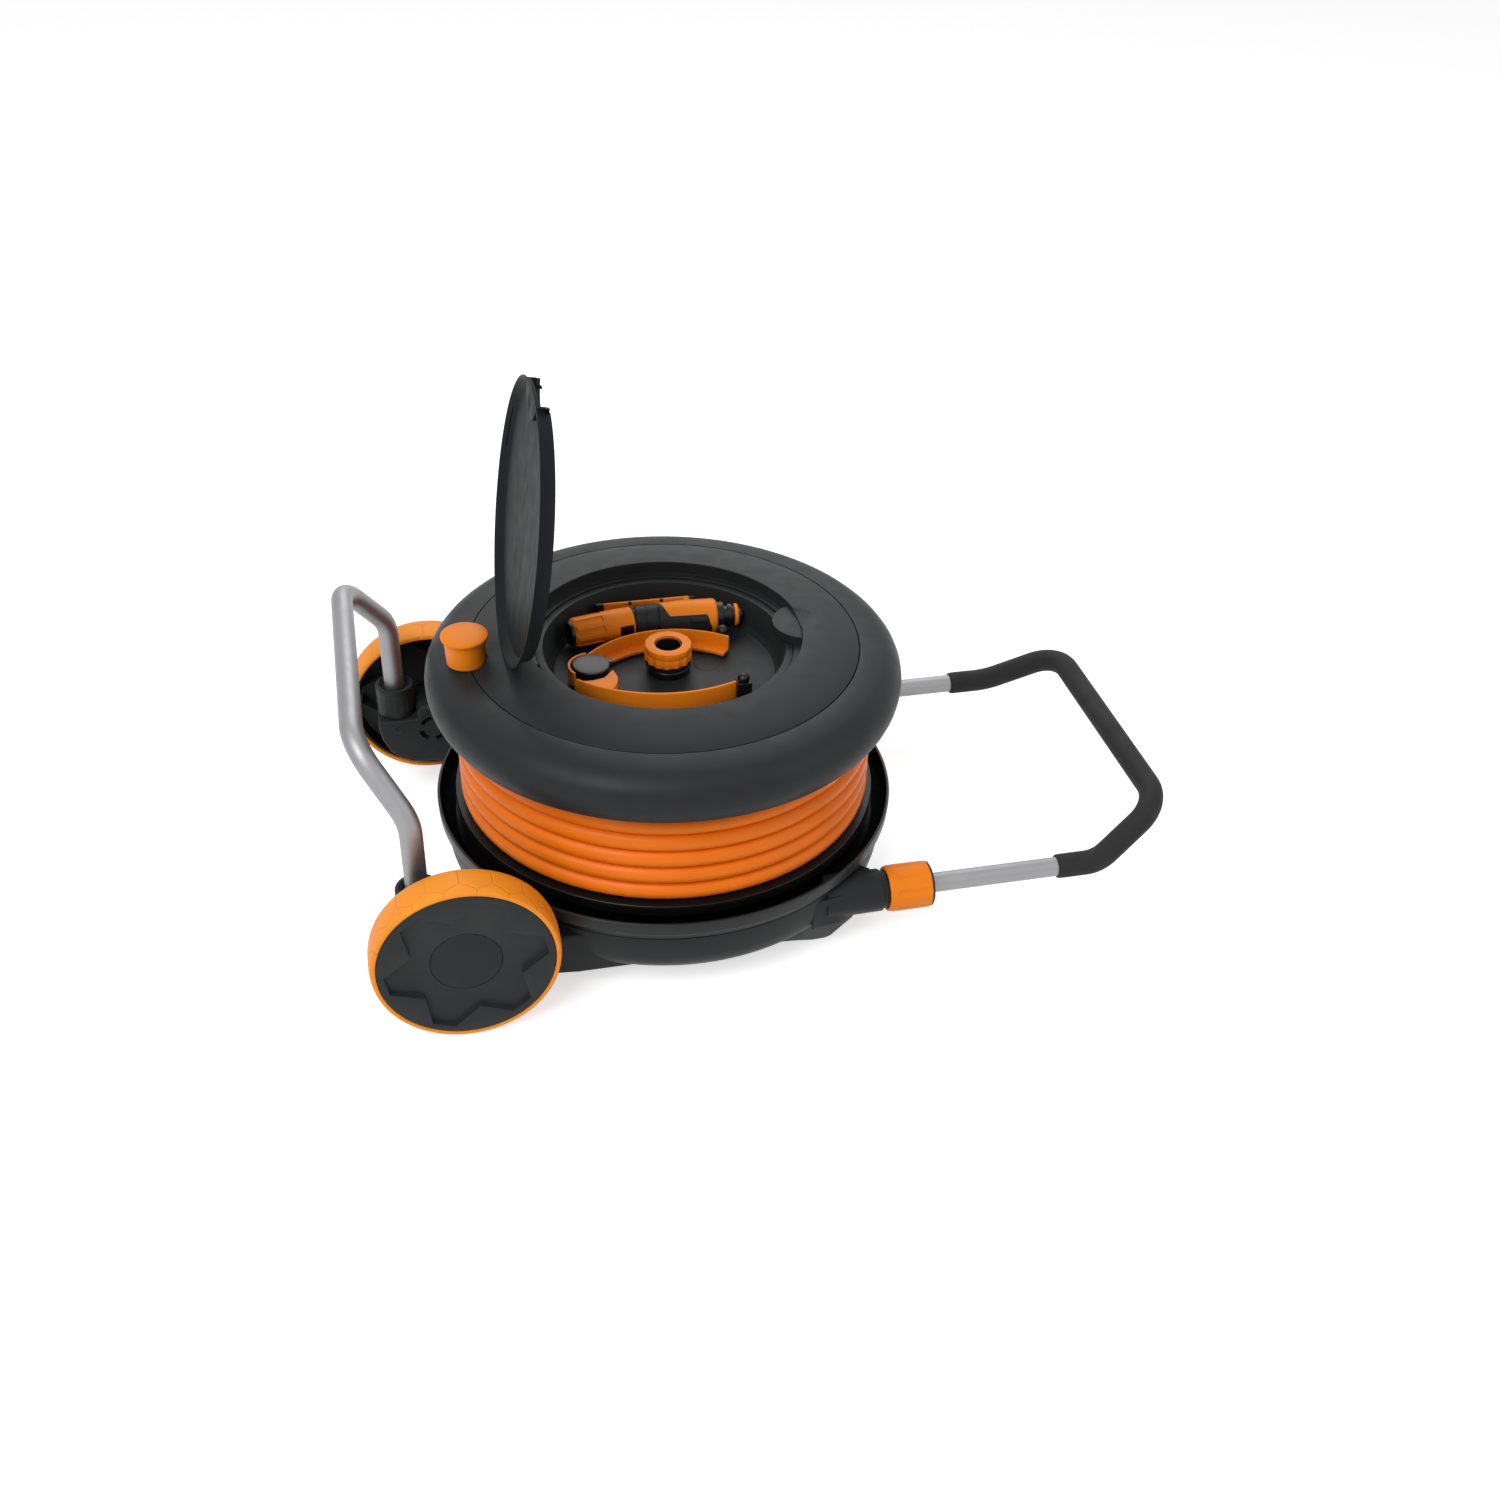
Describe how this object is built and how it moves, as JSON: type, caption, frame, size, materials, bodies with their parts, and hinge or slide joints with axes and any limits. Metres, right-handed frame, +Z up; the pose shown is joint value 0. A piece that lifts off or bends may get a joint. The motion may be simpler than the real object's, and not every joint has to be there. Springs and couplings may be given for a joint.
{
  "type": "garden hose reel cart",
  "caption": "Low hose reel cart: a drum of hose lies flat over a round tray on wheels, with a lidded accessory bin on top and a pull-out handle.",
  "frame": {"origin": "on the floor, below the middle of the whole reel with its lid open and its handle as shown; the drum's axis stands at x = -0.0859 m", "axes": "+X towards the handle, +Y towards the side away from the picture's camera, +Z up"},
  "size_m": [0.7478, 0.4296, 0.495],
  "materials": {
    "charcoal_plastic": "fine texture",
    "tray_plastic": "semi-gloss",
    "black_plastic": "smooth",
    "orange_plastic": "semi-gloss",
    "orange_tyre": "matte, with a fine tread",
    "hose": "smooth, semi-gloss",
    "foam": "matte foam",
    "seal": "smooth",
    "tube": "satin",
    "steel": "satin",
    "black_steel": "blackened"
  },
  "bodies": {
    "base": {"chassis": "charcoal_plastic", "tray": "tray_plastic", "spindle": "charcoal_plastic", "spindle_seal": "seal", "inlet_pipe": "black_plastic", "inlet_connector": "orange_plastic", "bracket_near": "charcoal_plastic", "bracket_far": "charcoal_plastic", "bracket_screw_near": "black_steel", "bracket_screw_far": "black_steel", "leg_collar_near": "charcoal_plastic", "leg_collar_far": "charcoal_plastic", "foot_tube": "tube", "axle_near": "steel", "axle_far": "steel"},
    "wheel_near": {"tyre_near": "orange_tyre", "hub_near": "charcoal_plastic", "hub_cap_near": "charcoal_plastic"},
    "wheel_far": {"tyre_far": "orange_tyre", "hub_far": "charcoal_plastic", "hub_cap_far": "charcoal_plastic"},
    "handle": {"handle_tube": "tube", "handle_grip": "foam", "handle_stop_near": "black_plastic", "handle_stop_far": "black_plastic"},
    "twist_near": {"collar_near": "orange_plastic"},
    "twist_far": {"collar_far": "orange_plastic"},
    "drum": {"flange_bottom": "charcoal_plastic", "drum_core": "charcoal_plastic", "flange_top": "charcoal_plastic", "rim_ring": "charcoal_plastic", "top_plate": "charcoal_plastic", "bin_cup": "charcoal_plastic", "swivel": "charcoal_plastic", "feed_pipe": "black_plastic", "hose_inner": "hose", "hose_wound": "hose", "hose_coupling": "charcoal_plastic", "knob_stud": "steel", "lid_hinge_pin": "steel"},
    "winding_knob": {"knob": "orange_plastic"},
    "bin_lid": {"lid": "charcoal_plastic", "lid_plate": "charcoal_plastic"},
    "nozzle": {"nozzle_body": "orange_plastic", "nozzle_sleeve": "charcoal_plastic", "nozzle_coupling": "black_plastic", "nozzle_ring": "orange_plastic"},
    "spray_head": {"nozzle_head": "orange_plastic"},
    "trigger": {"nozzle_trigger": "orange_plastic"},
    "sprinkler": {"sprinkler_head": "black_plastic", "sprinkler_legs": "orange_plastic", "sprinkler_foot_front": "black_plastic", "sprinkler_foot_rear": "black_plastic"},
    "tap_connector": {"tap_connector_body": "black_plastic", "tap_connector_ring": "orange_plastic"}
  },
  "joints": [
    {"name": "drum_spin", "type": "hinge", "parent": "base", "child": "drum", "pos_m": [-0.08588, 0, 0.15], "axis": [0, 0, 1], "continuous": true},
    {"name": "wheel_near_spin", "type": "hinge", "parent": "base", "child": "wheel_near", "pos_m": [-0.29318, -0.1985, 0.0802], "axis": [0, 1, 0], "continuous": true},
    {"name": "wheel_far_spin", "type": "hinge", "parent": "base", "child": "wheel_far", "pos_m": [-0.29318, 0.1985, 0.0802], "axis": [0, 1, 0], "continuous": true},
    {"name": "handle_slide", "type": "slide", "parent": "base", "child": "handle", "axis": [1, 0, 0], "range_m": [-0.075, 0.1]},
    {"name": "collar_near_twist", "type": "hinge", "parent": "base", "child": "twist_near", "pos_m": [0.10412, -0.1571, 0.0539], "axis": [1, 0, 0], "range_deg": [0, 90]},
    {"name": "collar_far_twist", "type": "hinge", "parent": "base", "child": "twist_far", "pos_m": [0.10412, 0.1571, 0.0539], "axis": [1, 0, 0], "range_deg": [0, 90]},
    {"name": "knob_spin", "type": "hinge", "parent": "drum", "child": "winding_knob", "pos_m": [-0.26317, -0.005, 0.26], "axis": [0, 0, 1], "continuous": true},
    {"name": "lid_hinge", "type": "hinge", "parent": "drum", "child": "bin_lid", "pos_m": [-0.21937, 0, 0.2394], "axis": [0, -1, 0], "range_deg": [-81, 0]},
    {"name": "nozzle_lift", "type": "slide", "parent": "drum", "child": "nozzle", "axis": [0, 0, 1], "range_m": [0, 0.25]},
    {"name": "spray_head_twist", "type": "hinge", "parent": "nozzle", "child": "spray_head", "pos_m": [-0.10387, 0.0635, 0.2279], "axis": [0.9816, 0.1908, 0], "range_deg": [-60, 60]},
    {"name": "trigger_squeeze", "type": "hinge", "parent": "nozzle", "child": "trigger", "pos_m": [-0.04487, 0.07643, 0.228], "axis": [0, 0, 1], "range_deg": [0, 3], "stiffness_Nm_per_rad": 0.5},
    {"name": "sprinkler_lift", "type": "slide", "parent": "drum", "child": "sprinkler", "axis": [0, 0, 1], "range_m": [0, 0.25]},
    {"name": "tap_connector_lift", "type": "slide", "parent": "drum", "child": "tap_connector", "axis": [0, 0, 1], "range_m": [0, 0.25]}
  ]
}
